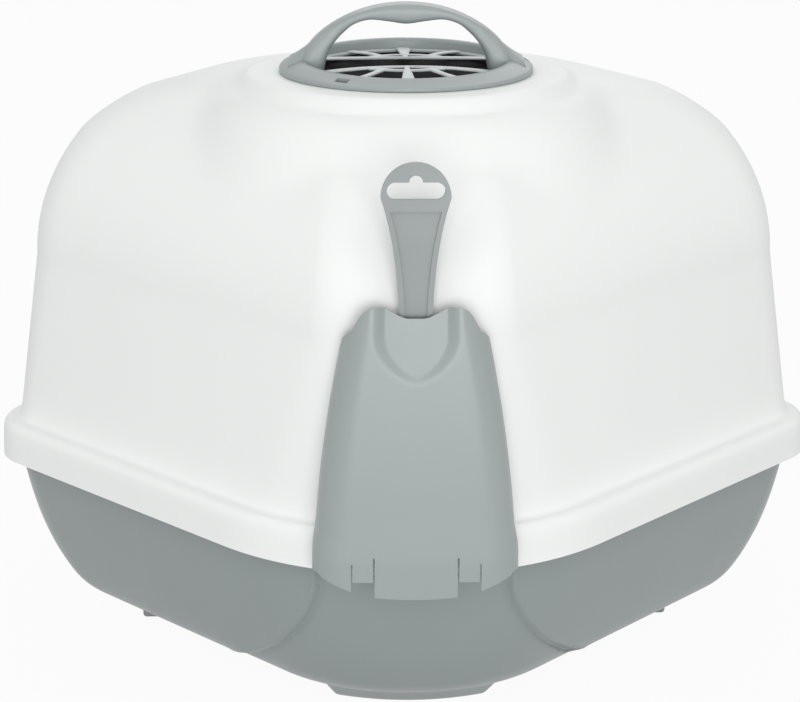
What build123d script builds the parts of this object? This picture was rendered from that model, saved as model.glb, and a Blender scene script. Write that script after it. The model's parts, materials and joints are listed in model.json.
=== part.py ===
from build123d import *
import os
from math import cos, radians, sin, sqrt, tan

# Covered litter box for a room corner: a grey tray, a white domed hood that drops over the
# tray's rim, a vent cover with a carrying handle, a swinging entrance flap, two front latches,
# and a scoop in a pouch that is clipped over the rounded rear corner.
# Millimetres, +Z up. The rear corner points to -Y and the entrance faces +Y.
# The origin is on the floor, under the middle of the overall box.

# Plan of the hood flange, measured from the sharp point of its right-angled rear corner
flange_side_x = 292.0        # where the rear wall line and the cheek line cross
front_depth = 512.0          # rear point to the front of the flange
front_corner_x = 168.0       # half width of the front of the flange, before rounding
flange_rear_radius = 160.0
flange_rear_flat = 4.0       # half of the flat at the very corner
flange_side_radius = 45.0
flange_front_radius = 70.0
rear_point_y = -285.0        # puts the origin under the middle of the overall box
flange_edge_height = 5.0     # eased upper edge of the flange
flange_edge_inset = 1.5
flange_top_inset = 4.0
flange_lean = 2.0            # the skirt's inner face closes in this much towards the top

# Heights
tray_floor_z = 14.0          # underside of the tray floor, the height of the moulded feet
flange_bottom_z = 121.0
flange_top_z = 147.0
dome_start_z = 262.0         # where the hood walls start to curve in
dome_top_z = 384.0
front_bend_z = 325.0         # where the front starts to curve in
pad_top_z = 389.0            # flat round pad that the vent cover sits on

# Walls and clearances
hood_wall = 2.6
tray_wall = 2.8
moving_clearance = 0.3       # between pieces that lift or swing apart
bore_clearance = 0.05        # radial, round a hinge pin
seat_clearance = 0.03        # radial, where a pin is held still

# Hood
hood_wall_inset = 13.0       # the hood wall stands this far inside the flange face
hood_taper = 12.0            # further inset gained by the walls up to the dome
dome_run = 135.0             # how far the dome curves in over its height
front_inset = 12.0           # the flat front face, inside the flange face
front_run = 104.0
front_trim = 6.0             # the rounded body stands this far ahead of the flat front
wall_foot_corners = (120.0, 14.0, 34.0, 58.0)      # rear radius, half rear flat, side, front
wall_middle_corners = (82.0, 24.0, 44.0, 62.0)
dome_side_radius = 55.0
dome_front_radius = 66.0
dome_side_growth = 10.0      # change of each corner from the dome's start to its top
dome_front_loss = 12.0
band_radius_loss = 10.0
band_width_loss = 8.0
band_half_width = 35.0       # flat band down the rear corner, at the start of the dome
band_radius = 40.0

# Tray
tray_top_inset = 12.5
tray_slope = 13.0            # straight part of the walls' lean
tray_curl = 19.0             # extra inward curve towards the floor
tray_edge_height = 8.0
tray_edge_run = 8.0
panel_depth = 3.0            # side panels stand proud of the rear corner block
tray_rear_radius = 146.0
tray_rear_radius_loss = 31.0
tray_side_radius = 31.0
tray_side_radius_growth = 20.0
tray_front_radius = 56.0
tray_lip_inset = 5.6         # outer edge of the lip that the hood rests on
foot_half_width = 57.0
rear_foot_y = (-141.0, -115.0)
side_foot_x = (152.0, 186.0)
side_foot_y = (-8.0, 26.0)
front_foot_x = (70.0, 110.0)
front_foot_y = (118.0, 144.0)
foot_corner_radius = 8.0
foot_edge = 2.0
block_half_width = 62.0      # the corner block, between the side panels
panel_foot_z = 22.0
panel_corner_radius = 50.0

# Vent
vent_y = 287.0               # from the rear point
pad_radius = 104.0
pad_skirt_radius = 134.0
pad_skirt_z = 366.0
vent_radius = 84.0
vent_ring_height = 10.0
vent_edge_height = 3.5
vent_hole_radius = 70.0
grille_radius = 66.5
grille_thickness = 4.0
grille_slot = 13.0
grille_bar_width = 5.0
grille_thin_bar = 3.7
knot_y = 23.0                # cross bar that the grille's spokes leave from
knot_half = 17.5
ledge_radius = 62.0
ledge_height = 2.0
filter_thickness = 7.0
handle_rise = 35.0           # arch top above the ring
handle_span = 69.0           # half width of the arch above its flared feet
handle_width = 21.0          # across, along Y
handle_bar = 11.5
handle_edge_radius = 3.0
handle_knee_rise = 4.5       # height of the arch's flared feet above the ring
handle_flare = 5.5
handle_foot_inner = 54.0
window_height = 3.0
window_length = 9.0
spigot_depth = 6.0
filter_cup_wall = 2.0
filter_slot_pitch = 12.0
filter_slot_width = 6.0

# Entrance
entry_width = 212.0
entry_height = 158.0
entry_bottom_z = 162.0
entry_top_radius = 10.0
entry_bottom_radius = 42.0
bezel_width = 13.0
bezel_thickness = 3.0
sleeve_wall = 3.0
sleeve_depth = 14.0
flap_gap = 3.0
flap_thickness = 3.0
flap_axis_drop = 10.0        # hinge line below the top of the clear opening
flap_pin_radius = 2.0
flap_hub_radius = 5.0
flap_hub_length = 12.0
flap_pin_bite = 11.0         # length of each stub pin inside the flap's hub
flap_head_radius = 3.6
flap_head_thickness = 1.6
flap_axis_behind = 5.0       # hinge line behind the front wall

# Scoop and its holder
holder_dip = 5.5             # how far the middle of the mouth dips
holder_wall = 2.4
holder_shoulder_radius = 14.0
notch_start = 28.0           # two notches with snap tabs, either side of the middle tongue
notch_width = 10.8
notch_top_z = 137.0
notch_depth = 62.5           # from the rear point
tab_face = 59.0
pouch_floor_z = 146.0
scoop_lean = 6.5             # degrees back from vertical
scoop_length = 221.0
scoop_thickness = 6.0
scoop_loop_radius = 20.5
blade_length = 96.0
blade_half_width = 30.0
blade_depth = 9.0
blade_wall = 2.2
scoop_neck = 19.0
scoop_border = 3.2
scoop_recess = 1.4
scoop_tip_y = 66.8           # from the rear point
scoop_tip_lift = 3.5         # above the pouch floor
blade_shoulder = 62.0        # where the blade starts to narrow towards the neck
blade_neck_half = 14.0
blade_hole = (6.0, 10.5)
blade_hole_pitch = (10.0, 15.0)
holder_bottom_z = 112.0
holder_top_z = 287.0
holder_rows = ((holder_bottom_z, 59.5, 56.5), (151.0, 58.5, 58.0), (190.0, 54.0, 62.0),
               (230.0, 46.5, 66.0), (holder_top_z, 36.0, 72.0))    # height, half width, rear face
holder_bow = 1.6

# Latches
latch_width = 36.0
latch_thickness = 3.2
latch_pin_radius = 1.6
latch_barrel_radius = 4.0
latch_drop = 6.0             # the plate reaches this far below the flange
latch_hook_height = 3.0
latch_hook_depth = 5.0
latch_tab_drop = 7.0
latch_tab_side = 6.0
latch_axis_rise = 5.0        # hinge line above the flange
latch_axis_out = 1.5         # hinge line outside the flange face
ear_width = 4.0
ear_foot = 2.0
ear_depth = 12.0


def line_cross(n1, d1, n2, d2):
    """The point on both lines n.p = d."""
    det = n1[0] * n2[1] - n1[1] * n2[0]
    return ((d1 * n2[1] - d2 * n1[1]) / det, (n1[0] * d2 - n2[0] * d1) / det)


def rounded_wire(points, radii, z):
    """A closed wire at height z through points, counter-clockwise, each corner an arc."""
    n = len(points)
    starts, mids, ends = [], [], []
    for k in range(n):
        p = Vector(*points[k])
        a = (Vector(*points[k - 1]) - p).normalized()
        b = (Vector(*points[(k + 1) % n]) - p).normalized()
        half = radians(a.get_angle(b)) / 2
        reach = radii[k] / tan(half)
        bisector = (a + b).normalized()
        centre = p + bisector * (radii[k] / sin(half))
        starts.append(p + a * reach)
        ends.append(p + b * reach)
        mids.append(centre - bisector * radii[k])
    lift = Vector(0, 0, z)
    edges = []
    for k in range(n):
        edges.append(ThreePointArc(starts[k] + lift, mids[k] + lift, ends[k] + lift))
        edges.append(Line(ends[k] + lift, starts[(k + 1) % n] + lift))
    return Wire([e.edge() for e in edges])


def cheek_normal():
    """Unit normal of the right-hand cheek, which joins the side corner to the front."""
    run = flange_side_x - front_corner_x
    rise = front_depth - flange_side_x
    length = sqrt(run * run + rise * rise)
    return rise / length, run / length


def plan_wire(z, inset, front=None, rear_radius=None, rear_flat=None, side_radius=None,
              front_radius=None):
    """The box's outline at height z: the flange outline moved in by inset."""
    front = inset if front is None else front
    rear_radius = flange_rear_radius - inset if rear_radius is None else rear_radius
    rear_flat = flange_rear_flat if rear_flat is None else rear_flat
    side_radius = flange_side_radius - inset if side_radius is None else side_radius
    front_radius = flange_front_radius - inset if front_radius is None else front_radius
    wall_n = (sqrt(0.5), -sqrt(0.5))
    cheek_n = cheek_normal()
    cheek_d = (cheek_n[0] + cheek_n[1]) * flange_side_x - (inset + front) / 2
    rear_y = rear_radius * tan(radians(22.5)) + rear_flat + inset * sqrt(2)
    right = [line_cross((0, -1), -rear_y, wall_n, -inset),
             line_cross(wall_n, -inset, cheek_n, cheek_d),
             line_cross(cheek_n, cheek_d, (0, 1), front_depth - front)]
    left = [(-x, y) for x, y in reversed(right)]
    points = [(x, y + rear_point_y) for x, y in right + left]
    radii = [rear_radius, side_radius, front_radius]
    return rounded_wire(points, radii + radii[::-1], z)


def through(wires, ruled=False):
    """A solid lofted through wires."""
    return loft([Face(w) for w in wires], ruled=ruled)


def round_plate(radius, low, high, y=None):
    """An upright cylinder from low to high, over the vent's centre."""
    y = vent_y + rear_point_y if y is None else y
    return Pos(0, y, low) * Cylinder(radius, high - low, align=(Align.CENTER, Align.CENTER, Align.MIN))


def block(x, y, z):
    """A box from three (low, high) pairs."""
    size = (x[1] - x[0], y[1] - y[0], z[1] - z[0])
    return Pos((x[0] + x[1]) / 2, (y[0] + y[1]) / 2, (z[0] + z[1]) / 2) * Box(*size)


# Hood

def dome_section(angle, extra):
    """One hood section: angle 0 is where the dome starts and 90 its very top."""
    t = angle / 90.0
    top = dome_top_z - extra
    z = dome_start_z + (top - dome_start_z) * sin(radians(angle))
    inset = hood_wall_inset + hood_taper + dome_run * (1 - cos(radians(angle))) + extra
    rise = max(0.0, (z - front_bend_z) / (top - front_bend_z))
    front = front_inset - front_trim + front_run * (1 - sqrt(max(0.0, 1 - rise * rise))) + extra
    return plan_wire(z, inset, front=front,
                     rear_radius=band_radius - band_radius_loss * t - extra,
                     rear_flat=band_half_width - band_width_loss * t,
                     side_radius=dome_side_radius + dome_side_growth * t - extra,
                     front_radius=dome_front_radius - dome_front_loss * t - extra)


def wall_section(z, inset, corners, extra):
    """One section of the straight walls, from its corner sizes."""
    rear, flat, side, front = corners
    return plan_wire(z, inset + extra, front=front_inset - front_trim + extra,
                     rear_radius=rear - extra, rear_flat=flat, side_radius=side - extra,
                     front_radius=front - extra)


def hood_walls(low, extra):
    """The hood's side walls from low up to the dome, moved in by extra."""
    foot = wall_section(low, hood_wall_inset, wall_foot_corners, extra)
    middle = wall_section((low + dome_start_z) / 2, hood_wall_inset + hood_taper / 2,
                          wall_middle_corners, extra)
    return through([foot, middle, dome_section(0, extra)], ruled=True)


def hood_shape(low, extra):
    """The solid inside the hood's outer face, moved in by extra all round."""
    dome = through([dome_section(a, extra) for a in (0, 16, 32, 47, 61, 74)])
    pad_z = pad_top_z - extra
    skirt = Pos(0, vent_y + rear_point_y, pad_skirt_z) * Cone(
        pad_skirt_radius - extra, pad_radius - extra, pad_z - pad_skirt_z,
        align=(Align.CENTER, Align.CENTER, Align.MIN))
    front_y = rear_point_y + front_depth - front_inset - extra
    ahead = block((-400, 400), (front_y, front_y + 100), (0, 500))
    return hood_walls(low, extra) + dome + skirt - ahead


def flange_shape(bottom_inset, top_inset, low, high):
    """The flange's skirt as a solid block between two heights."""
    return through([plan_wire(low, bottom_inset),
                    plan_wire(high - flange_edge_height, bottom_inset + flange_edge_inset),
                    plan_wire(high, top_inset)], ruled=True)


front_y = rear_point_y + front_depth - front_inset      # plane of the flat front face
rim_z = flange_top_z - hood_wall                        # top of the tray's lip, where the hood rests
entry_top_z = entry_bottom_z + entry_height
flap_axis_z = entry_top_z - flap_axis_drop
flap_axis_y = front_y - hood_wall - flap_axis_behind


def entry_shape(margin, y_low, y_high):
    """The entrance's outline grown by margin, as a block through the front wall."""
    with BuildSketch(Plane.XZ) as outline:
        with Locations((0, (entry_bottom_z + entry_top_z) / 2)):
            Rectangle(entry_width + 2 * margin, entry_height + 2 * margin)
        corners = outline.vertices().sort_by(Axis.Y)
        fillet(corners[:2], entry_bottom_radius + margin)
        fillet(corners[2:], entry_top_radius + margin)
    return Pos(0, y_high, 0) * extrude(outline.sketch, amount=y_high - y_low)


def cheek_plane(side):
    """A plane on the flange's cheek, x along the cheek, y up and z outwards, at z = 0."""
    nx, ny = cheek_normal()
    middle_x = (flange_side_x + front_corner_x) / 2 - 4
    run = flange_side_x - front_corner_x
    rise = front_depth - flange_side_x
    middle_y = flange_side_x + (flange_side_x - middle_x) * rise / run + rear_point_y
    return Plane(origin=(side * middle_x, middle_y, 0), x_dir=(-ny, side * nx, 0),
                 z_dir=(side * nx, ny, 0))


latch_axis_z = flange_top_z + latch_axis_rise


def cheek_box(side, along, up, out):
    """A box on a cheek from (low, high) pairs along, up and outwards."""
    size = (along[1] - along[0], up[1] - up[0], out[1] - out[0])
    place = Pos(sum(along) / 2, sum(up) / 2, sum(out) / 2)
    return cheek_plane(side) * place * Box(*size)


def cheek_rod(side, radius, along):
    """A rod along a latch's hinge line between two distances from the cheek's middle."""
    place = Pos(sum(along) / 2, latch_axis_z, latch_axis_out) * Rot(0, 90, 0)
    return cheek_plane(side) * place * Cylinder(radius, along[1] - along[0])


def latch_ears(side):
    """Two ears on the flange that carry a latch's pin."""
    ears = []
    for sign in (-1, 1):
        near = latch_width / 2 + moving_clearance
        along = sorted((sign * near, sign * (near + ear_width)))
        ear = cheek_box(side, along, (flange_top_z - ear_foot, latch_axis_z),
                        (-ear_depth, latch_axis_out + 3.0))
        ear += cheek_rod(side, latch_barrel_radius, along)
        ear -= cheek_rod(side, latch_pin_radius + seat_clearance, (along[0] - 1, along[1] + 1))
        ears.append(ear)
    return ears


def make_hood():
    outer = hood_shape(rim_z, 0)
    outer += flange_shape(0, flange_top_inset, flange_bottom_z, flange_top_z)
    inner = hood_shape(rim_z - 1.0, hood_wall)
    inner += through([plan_wire(flange_bottom_z - 1, hood_wall),
                      plan_wire(rim_z, hood_wall + flange_lean)], ruled=True)
    shell = outer - inner
    shell -= round_plate(vent_hole_radius, pad_skirt_z - 40, pad_top_z + 1)
    shell -= entry_shape(sleeve_wall + moving_clearance, front_y - 30, front_y + 30)
    for side in (1, -1):
        for ear in latch_ears(side):
            shell += ear
    return shell


# Tray

def tray_section(z, extra):
    """The tray's outline at height z, moved in by extra."""
    s = max(0.0, (flange_bottom_z - z) / (flange_bottom_z - tray_floor_z))
    inset = tray_top_inset + tray_slope * s + tray_curl * s ** 3 + extra
    return plan_wire(z, inset, rear_radius=tray_rear_radius - tray_rear_radius_loss * s - extra,
                     rear_flat=flange_rear_flat,
                     side_radius=tray_side_radius + tray_side_radius_growth * s - extra,
                     front_radius=tray_front_radius - extra)


def tray_bowl(bottom_z, extra, top_z):
    """The solid inside the tray's wall, moved in by extra."""
    edge_z = tray_floor_z + tray_edge_height
    floor_ring = tray_section(edge_z, extra + tray_edge_run)
    floor_ring = floor_ring.moved(Location((0, 0, bottom_z - edge_z)))
    bowl = through([floor_ring, tray_section(edge_z, extra)], ruled=True)
    heights = [edge_z + (flange_bottom_z - edge_z) * k / 4 for k in range(5)]
    bowl += through([tray_section(z, extra) for z in heights])
    bowl += through([tray_section(flange_bottom_z, extra), tray_section(flange_bottom_z, extra).moved(
        Location((0, 0, top_z - flange_bottom_z)))], ruled=True)
    return bowl


def corner_block_region():
    """The part of the tray's outside where the side panels are left off, round the rear corner."""
    with BuildSketch(Plane.XZ) as outline:
        Polygon((-block_half_width, 200), (-block_half_width, panel_foot_z), (-300, tray_floor_z - 6),
                (-300, -20), (300, -20), (300, tray_floor_z - 6), (block_half_width, panel_foot_z),
                (block_half_width, 200), align=None)
        inner = [v for v in outline.vertices() if abs(v.Y - panel_foot_z) < 1 and abs(v.X) < 200]
        fillet(inner, panel_corner_radius)
    return Pos(0, -60, 0) * extrude(outline.sketch, amount=300)


def make_feet():
    """Five moulded feet under the floor: one at the rear corner, two at the sides, two in front."""
    height = (0, tray_floor_z + 1)
    feet = [block((-foot_half_width, foot_half_width), rear_foot_y, height)]
    for side in (-1, 1):
        for x, y in ((side_foot_x, side_foot_y), (front_foot_x, front_foot_y)):
            feet.append(block(sorted((side * x[0], side * x[1])), y, height))
    rounded = []
    for foot in feet:
        foot = fillet(foot.edges().filter_by(Axis.Z), foot_corner_radius)
        rounded.append(chamfer(foot.faces().sort_by(Axis.Z)[0].edges(), foot_edge))
    return rounded


def make_tray():
    panels = tray_bowl(tray_floor_z, 0, rim_z) - corner_block_region()
    outer = tray_bowl(tray_floor_z, panel_depth, rim_z) + panels
    outer += through([plan_wire(rim_z - tray_wall, tray_lip_inset), plan_wire(rim_z, tray_lip_inset)],
                     ruled=True)
    tray = outer - tray_bowl(tray_floor_z + tray_wall, panel_depth + tray_wall, rim_z + 1)
    for foot in make_feet():
        tray += foot
    return tray


# Vent cover

def handle_arch():
    """The carrying arch, an outline in the XZ plane with a finger bump, given its width."""
    base = pad_top_z + vent_ring_height
    top = base + handle_rise
    low = pad_top_z + 1
    foot = vent_radius - 1.5
    knee = handle_span
    knee_z = base + handle_knee_rise
    inner = handle_foot_inner
    inner_top = top - handle_bar
    with BuildSketch(Plane.XZ) as outline:
        with BuildLine():
            ThreePointArc((-knee, knee_z), (0, top), (knee, knee_z))
            ThreePointArc((knee, knee_z), (knee + handle_flare, base), (foot, low))
            Line((foot, low), (inner, low))
            Spline([(inner, low), (inner - 4, base + 2), (37, inner_top - 3.5), (22, inner_top + 1.5),
                    (0, inner_top - 1.5), (-22, inner_top + 1.5), (-37, inner_top - 3.5),
                    (4 - inner, base + 2), (-inner, low)])
            Line((-inner, low), (-foot, low))
            ThreePointArc((-foot, low), (-knee - handle_flare, base), (-knee, knee_z))
        make_face()
    arch = extrude(outline.sketch, amount=handle_width / 2, both=True)
    sides = [e for e in arch.edges() if e.length > 100 and abs(e.center().Y) > handle_width / 2 - 0.1]
    arch = fillet(sides, handle_edge_radius)
    return Pos(0, vent_y + rear_point_y, 0) * arch


def make_vent_handle():
    top = pad_top_z + vent_ring_height
    ring = round_plate(vent_radius, pad_top_z, pad_top_z + vent_edge_height)
    slope = top - pad_top_z - vent_edge_height
    ring += Pos(0, vent_y + rear_point_y, pad_top_z + vent_edge_height) * Cone(
        vent_radius, grille_radius + 3.0, slope, align=(Align.CENTER, Align.CENTER, Align.MIN))
    ring -= round_plate(grille_radius + seat_clearance, pad_top_z + ledge_height, top + 1)
    ring -= round_plate(ledge_radius, pad_top_z - 1, top + 1)
    spigot = round_plate(vent_hole_radius - moving_clearance, pad_top_z - spigot_depth, pad_top_z)
    spigot -= round_plate(grille_radius + 0.5, pad_top_z - spigot_depth - 1, pad_top_z + 1)
    arch = handle_arch() - round_plate(grille_radius + seat_clearance, pad_top_z, top - 1)
    cover = ring + spigot + arch
    for angle in (247, 352):
        slot = Pos(0, vent_y + rear_point_y, pad_top_z + 5) * Rot(0, 0, angle)
        cover -= slot * Pos(vent_radius - 3, 0, 0) * Box(6, window_length, window_height)
    return cover


def grille_bar(start, end, width):
    """One straight bar of the grille between two points measured from the vent's centre."""
    along = Vector(*end) - Vector(*start)
    middle = (Vector(*end) + Vector(*start)) / 2
    angle = along.get_signed_angle(Vector(1, 0, 0), Vector(0, 0, -1))
    return Pos(middle.X, middle.Y, grille_thickness / 2) * Rot(0, 0, angle) * Box(
        along.length, width, grille_thickness)


def grille_half(sign):
    """Bars of one half of the grille, on one side of the dark slot across its middle."""
    slot_bar = sign * (grille_slot + grille_bar_width) / 2
    knot = sign * knot_y
    far = grille_radius + 4
    bars = grille_bar((-far, slot_bar), (far, slot_bar), grille_bar_width)
    with BuildSketch() as wedge:
        Polygon((-1.6, slot_bar), (1.6, slot_bar), (5.5, sign * far), (-5.5, sign * far), align=None)
    bars += extrude(wedge.sketch, amount=grille_thickness)
    bars += grille_bar((-knot_half, knot), (knot_half, knot), grille_thin_bar)
    for side in (-1, 1):
        start = (side * knot_half, knot)
        bars += grille_bar(start, (side * 43, sign * far * 0.84), grille_bar_width)
        bars += grille_bar(start, (side * far, sign * 17.5), grille_thin_bar)
        bars += grille_bar(start, (side * 9, slot_bar), grille_thin_bar)
    return Pos(0, vent_y + rear_point_y, pad_top_z + ledge_height) * bars


def make_vent_grille():
    low = pad_top_z + ledge_height
    rim = round_plate(grille_radius, low, low + grille_thickness)
    rim -= round_plate(ledge_radius - 1.5, low - 1, low + grille_thickness + 1)
    inside = round_plate(grille_radius - 1, low, low + grille_thickness)
    return rim + (grille_half(1) & inside) + (grille_half(-1) & inside)


def make_filter_tray():
    """A shallow cup that holds the filter under the grille, with slots through its floor."""
    low = pad_top_z - filter_thickness - 3.0
    cup = round_plate(grille_radius - 0.5, low, pad_top_z)
    cup -= round_plate(ledge_radius + 1.5, low + filter_cup_wall, pad_top_z + 1)
    for row in range(-4, 5):
        off_centre = row * filter_slot_pitch
        half = sqrt(54.0 ** 2 - off_centre ** 2)
        y = vent_y + rear_point_y + off_centre
        slot_y = (y - filter_slot_width / 2, y + filter_slot_width / 2)
        cup -= block((-half, -4), slot_y, (low - 1, low + 3))
        cup -= block((4, half), slot_y, (low - 1, low + 3))
    return cup


def make_filter():
    low = pad_top_z - filter_thickness - 1.0
    return round_plate(ledge_radius + 1.2, low, low + filter_thickness)


# Entrance

def make_entrance_frame():
    frame = entry_shape(bezel_width, front_y, front_y + bezel_thickness)
    frame += entry_shape(sleeve_wall, front_y - sleeve_depth, front_y)
    frame -= entry_shape(0, front_y - sleeve_depth - 1, front_y + bezel_thickness + 1)
    hole = Pos(0, flap_axis_y, flap_axis_z) * Rot(0, 90, 0)
    frame -= hole * Cylinder(flap_pin_radius + seat_clearance, entry_width + 2 * sleeve_wall + 2)
    return frame


def make_flap():
    bottom = entry_bottom_z + flap_gap
    with BuildSketch(Plane.XZ) as outline:
        with Locations((0, (bottom + flap_axis_z) / 2)):
            Rectangle(entry_width - 2 * flap_gap, flap_axis_z - bottom)
        fillet(outline.vertices().sort_by(Axis.Y)[:2], entry_bottom_radius - flap_gap)
    sheet = Pos(0, flap_axis_y, 0) * extrude(outline.sketch, amount=flap_thickness / 2, both=True)
    half = entry_width / 2 - moving_clearance
    place = Pos(0, flap_axis_y, flap_axis_z) * Rot(0, 90, 0)
    for sign in (-1, 1):
        middle = sign * (half - flap_hub_length / 2)
        sheet += Pos(middle, 0, 0) * place * Cylinder(flap_hub_radius, flap_hub_length)
    sheet -= place * Cylinder(flap_pin_radius + bore_clearance, entry_width)
    return sheet


def make_flap_pins():
    """Two stub pins through the frame's sides into the flap's hubs, with heads outside."""
    pins = []
    outside = entry_width / 2 + sleeve_wall
    for sign in (-1, 1):
        inner = entry_width / 2 - flap_pin_bite
        length = outside - inner
        place = Pos(sign * (inner + length / 2), flap_axis_y, flap_axis_z) * Rot(0, 90, 0)
        head = Pos(sign * (outside + flap_head_thickness / 2), flap_axis_y, flap_axis_z) * Rot(0, 90, 0)
        pins.append(place * Cylinder(flap_pin_radius, length)
                    + head * Cylinder(flap_head_radius, flap_head_thickness))
    return Compound(children=pins)


# Latches

def make_latch(side):
    """A clip hinged over the flange, with a hook under the flange and a finger tab below."""
    half = latch_width / 2
    low = flange_bottom_z - latch_drop
    face = latch_axis_out + latch_barrel_radius
    back = face - latch_thickness
    tab_half = half - latch_tab_side
    plate = cheek_box(side, (-half, half), (low, latch_axis_z), (back, face))
    plate += cheek_rod(side, latch_barrel_radius, (-half, half))
    plate += cheek_box(side, (-half, half), (low, low + latch_hook_height), (-latch_hook_depth, face))
    plate += cheek_box(side, (-tab_half, tab_half), (low - latch_tab_drop, low + 1), (back + 0.7, face))
    plate -= cheek_rod(side, latch_pin_radius + bore_clearance, (-half - 1, half + 1))
    flange = cheek_box(side, (-half - 1, half + 1), (flange_bottom_z - moving_clearance, latch_axis_z - 5),
                       (-ear_depth, 0))
    return plate - flange


def make_latch_pins():
    reach = latch_width / 2 + moving_clearance + ear_width
    return Compound(children=[cheek_rod(side, latch_pin_radius, (-reach, reach)) for side in (1, -1)])


# Scoop and holder

def scoop_frame():
    """A plane lying along the scoop: x across, y up the scoop, z towards the rear, at its tip."""
    lean = radians(scoop_lean)
    tip = (0, rear_point_y + scoop_tip_y, pouch_floor_z + scoop_tip_lift)
    return Plane(origin=tip, x_dir=(1, 0, 0), z_dir=(0, -cos(lean), sin(lean)))


def grip_face(place, inset=0.0, low=None):
    """The scoop's handle outline: a round loop narrowing to the neck."""
    base = blade_length - 4 if low is None else low
    top = scoop_length - scoop_loop_radius
    neck, loop = scoop_neck / 2 - inset, scoop_loop_radius - inset
    waist = neck + 3.5
    with BuildSketch(place) as outline:
        with BuildLine():
            Line((-neck, base), (neck, base))
            Spline([(neck, base), (neck, base + 25), (waist, top - 32), (loop, top)])
            ThreePointArc((loop, top), (0, top + loop), (-loop, top))
            Spline([(-loop, top), (-waist, top - 32), (-neck, base + 25), (-neck, base)])
        make_face()
    return outline.sketch


def blade_face(place, inset=0.0):
    """The scoop's blade outline, shouldered towards the neck."""
    half = blade_half_width - inset
    high = blade_length - 1.5 * inset
    neck = blade_neck_half - inset
    with BuildSketch(place) as outline:
        with BuildLine():
            Line((-half + 4, inset), (half - 4, inset))
            Line((half - 4, inset), (half, blade_shoulder))
            Spline([(half, blade_shoulder), (half - 5, high - 16), (neck, high)])
            Line((neck, high), (-neck, high))
            Spline([(-neck, high), (-half + 5, high - 16), (-half, blade_shoulder)])
            Line((-half, blade_shoulder), (-half + 4, inset))
        make_face()
    return outline.sketch


def make_scoop():
    place = scoop_frame()
    top = scoop_length - scoop_loop_radius
    grip = extrude(grip_face(place), amount=scoop_thickness / 2, both=True)
    with BuildSketch(place) as slot:
        with Locations((0, top + 4)):
            SlotOverall(2 * scoop_loop_radius - 7, 10)
        with Locations((0, top + 9)):
            Circle(4)
    grip -= extrude(slot.sketch, amount=10, both=True)
    recess = extrude(grip_face(place, scoop_border, blade_length + 6), amount=scoop_thickness)
    recess -= place * Box(200, 600, scoop_thickness - 2 * scoop_recess)
    band = place * Pos(0, top + 42, 0) * Box(80, 100, 40)
    grip -= recess - band
    pan = extrude(blade_face(place), amount=scoop_thickness / 2)
    pan += extrude(blade_face(place), amount=scoop_thickness / 2 - blade_depth)
    pan -= extrude(blade_face(place, blade_wall), amount=-blade_depth)
    pan -= place * Pos(0, 0, -5) * Box(2 * blade_half_width - 13, 9, 8)
    for row in range(5):
        for column in range(-2, 3):
            hole = place * Pos(column * blade_hole_pitch[0], 14 + row * blade_hole_pitch[1], 0)
            pan -= hole * Box(*blade_hole, 30)
    return (pan + grip).solid()


def holder_section(z, half, rear, extra=0.0):
    """One section of the holder: a bevelled, gently bowed outline open towards the hood."""
    half -= extra
    y_rear = rear_point_y + rear + extra
    bevel = 4.0 + 8.0 * (half - 30.0) / 30.0
    back = rear_point_y + 128.0
    lift = Vector(0, 0, z)
    left_low = Vector(-half, y_rear + bevel + 5) + lift
    left_top = Vector(-half + bevel, y_rear + holder_bow) + lift
    right_top = Vector(half - bevel, y_rear + holder_bow) + lift
    right_low = Vector(half, y_rear + bevel + 5) + lift
    back_right = Vector(half, back) + lift
    back_left = Vector(-half, back) + lift
    corner = Vector(half - bevel * 0.30, y_rear + bevel * 0.36 + 2.0) + lift
    corner_left = Vector(-corner.X, corner.Y, corner.Z)
    edges = [ThreePointArc(left_low, corner_left, left_top),
             ThreePointArc(left_top, Vector(0, y_rear) + lift, right_top),
             ThreePointArc(right_top, corner, right_low), Line(right_low, back_right),
             Line(back_right, back_left), Line(back_left, left_low)]
    return Wire([e.edge() for e in edges])


def holder_block(extra, over):
    """The holder's outer shape moved in by extra, reaching over past both its ends."""
    heights = [row[0] for row in holder_rows]
    heights[0] -= over
    heights[-1] += over
    return through([holder_section(z, half, rear, extra)
                    for z, (_, half, rear) in zip(heights, holder_rows)], ruled=True)


def make_holder():
    body = holder_block(0, 0)
    hollow = holder_block(holder_wall, 1.0)
    floor = block((-80, 80), (-300, -100), (pouch_floor_z + 0.5, pouch_floor_z + 2.5))
    shell = body - (hollow - floor)
    mouth = Pos(0, rear_point_y + 60, holder_top_z + 38 - holder_dip) * Rot(90, 0, 0) * Cylinder(38, 160)
    shell -= mouth
    with BuildSketch(Plane.XZ) as profile:
        Polygon((-70, 100), (70, 100), (70, 200), (35.0, holder_top_z), (-35.0, holder_top_z), (-70, 200),
                align=None)
        fillet(profile.vertices().sort_by(Axis.Y)[-2:], holder_shoulder_radius)
    shell &= extrude(profile.sketch, amount=500, both=True)
    for side in (-1, 1):
        notch_x = sorted((side * notch_start, side * (notch_start + notch_width)))
        tab_x = (notch_x[0] + 0.7, notch_x[1] - 0.7)
        shell -= block(notch_x, (-300, rear_point_y + notch_depth), (100, notch_top_z))
        shell += block(tab_x, (rear_point_y + tab_face, rear_point_y + tab_face + holder_wall),
                       (flange_bottom_z - 2, notch_top_z + 4))
    outline = hood_shape(rim_z, -moving_clearance)
    skirt = through([plan_wire(flange_bottom_z - moving_clearance, -moving_clearance),
                     plan_wire(flange_top_z + moving_clearance, -moving_clearance)], ruled=True)
    below = through([plan_wire(holder_bottom_z - 5, 5.0), plan_wire(flange_bottom_z + 5, 5.0)], ruled=True)
    shell = shell - outline - skirt - below
    return shell


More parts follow.
